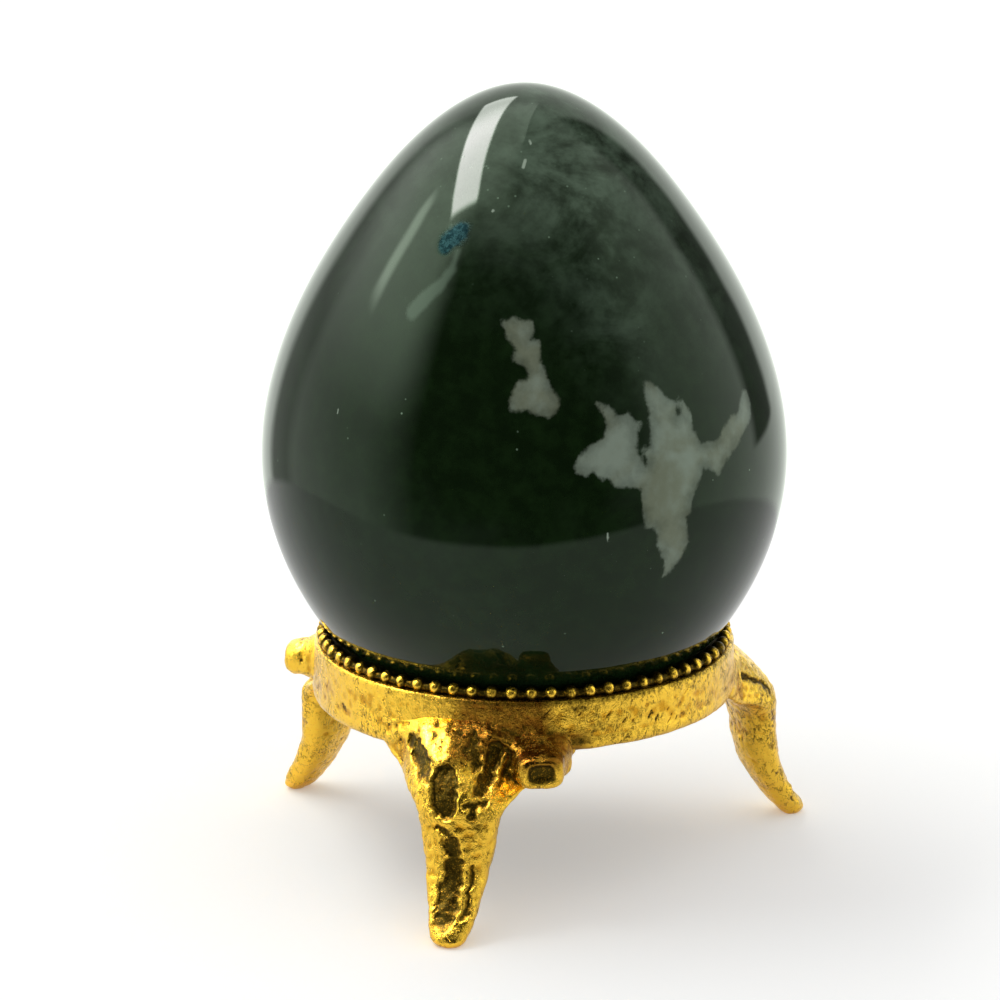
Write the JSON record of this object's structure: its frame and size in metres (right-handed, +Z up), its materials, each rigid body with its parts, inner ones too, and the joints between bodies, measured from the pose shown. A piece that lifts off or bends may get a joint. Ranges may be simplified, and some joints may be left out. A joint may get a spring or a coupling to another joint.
{
  "type": "decorative egg on stand",
  "caption": "Polished stone egg that stands loose in a small gilt metal stand with a beaded ring rim and cabriole legs.",
  "frame": {"origin": "on the table, on the axis of the ring", "axes": "+Z up along the ring's axis, -Y towards the front leg, +X to the right of a viewer who faces the front leg"},
  "size_m": [0.0502, 0.0521, 0.0723],
  "materials": {
    "stone": "mirror-polished dark green stone with grey-white inclusions",
    "gilt": "worn antique gilding with dark patina in the hollows",
    "gilt_bead": "worn antique gilding, dark between the beads"
  },
  "bodies": {
    "stand": {"ring_band": "gilt", "beaded_wire": "gilt_bead", "leg_front": "gilt", "leg_left": "gilt", "leg_right": "gilt"},
    "egg": {"egg": "stone"}
  },
  "joints": [
    {"name": "egg_lift", "type": "slide", "parent": "stand", "child": "egg", "axis": [0, 0, 1], "range_m": [0, 0.025]}
  ]
}
